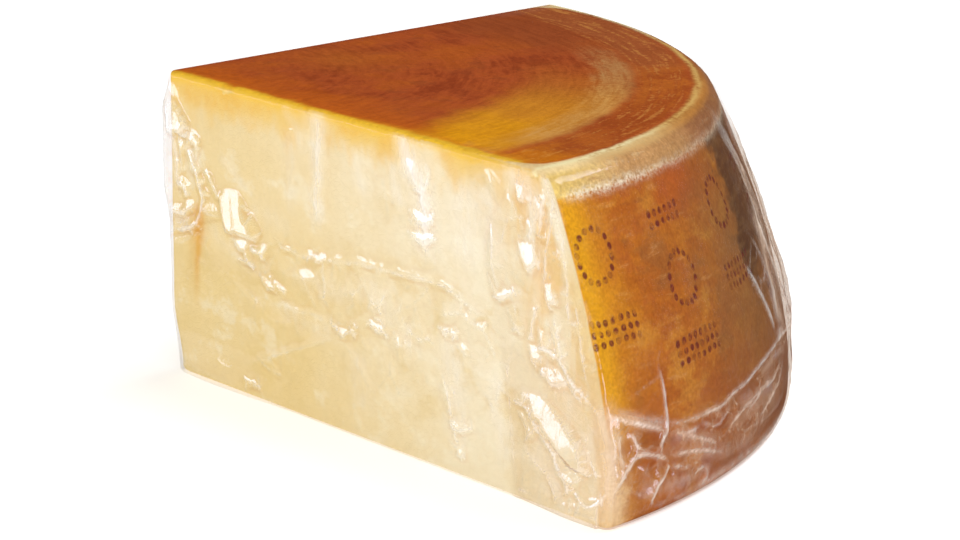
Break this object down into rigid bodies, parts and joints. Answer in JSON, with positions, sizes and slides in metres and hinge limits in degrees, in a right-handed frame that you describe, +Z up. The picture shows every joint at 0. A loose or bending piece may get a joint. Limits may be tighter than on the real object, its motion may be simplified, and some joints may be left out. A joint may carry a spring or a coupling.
{
  "type": "vacuum-packed hard cheese wedge",
  "caption": "Quarter-round wedge of hard cheese, half the wheel's height, with a bulging orange rind, two pale cut faces and a tight clear film.",
  "frame": {"origin": "centre of the bounding box at the base plane the wedge rests on", "axes": "+Z up out of the top plate of the wheel; one cut face looks towards -Y, the other towards -X, and the rind towards +X and +Y; the tip of the wedge is the corner at -X -Y"},
  "size_m": [0.2186, 0.2186, 0.1062],
  "materials": {
    "cheese_paste": "pale straw-yellow hard cheese under tight clear film",
    "cheese_rind": "oiled golden to red-brown rind with dull pale bands",
    "clear_film": "thin clear gloss vacuum film with creases"
  },
  "bodies": {
    "root": {"sealed_cheese_wedge": "cheese_paste"}
  },
  "joints": []
}
